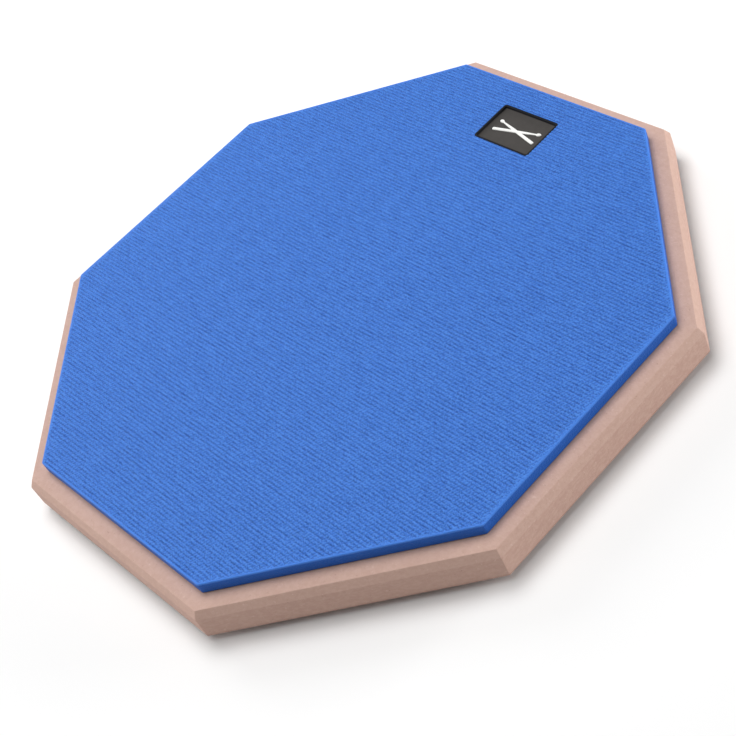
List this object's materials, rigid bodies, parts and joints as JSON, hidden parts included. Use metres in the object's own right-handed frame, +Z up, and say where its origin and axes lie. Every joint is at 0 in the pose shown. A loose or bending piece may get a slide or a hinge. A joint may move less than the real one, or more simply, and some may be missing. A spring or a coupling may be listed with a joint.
{
  "type": "drum practice pad",
  "caption": "Octagonal drum practice pad: ribbed rubber striking sheet with a recessed badge, glued to a bevelled fibreboard base on an anti-slip foam sheet.",
  "frame": {"origin": "middle of the foam's underside, on the surface that the pad lies on", "axes": "+Z up out of the striking face, +Y towards the flat that the badge is near, +X along the badge's length; the octagon's flats face +X, -X, +Y, -Y and the diagonals"},
  "size_m": [0.3, 0.3, 0.0252],
  "materials": {
    "fibreboard": "raw fine-fibre board, matt, faintly speckled, with a sanded routed bevel",
    "blue_rubber": "mid-blue solid rubber with a fine moulded rib texture, satin-matt",
    "contact_glue": "thin amber contact glue",
    "black_foam": "closed-cell black foam, matt, with fine pores",
    "badge_vinyl": "moulded soft vinyl, dark grey satin floor and a blacker raised border",
    "badge_tape": "thin translucent white double-sided tape",
    "mark_vinyl": "white soft vinyl poured into the badge, satin"
  },
  "bodies": {
    "root": {"base_board": "fibreboard", "striking_pad": "blue_rubber", "striking_pad_glue": "contact_glue", "anti_slip_sheet": "black_foam", "anti_slip_glue": "contact_glue", "badge_plate": "badge_vinyl", "badge_glue": "badge_tape", "badge_mark": "mark_vinyl"}
  },
  "joints": []
}
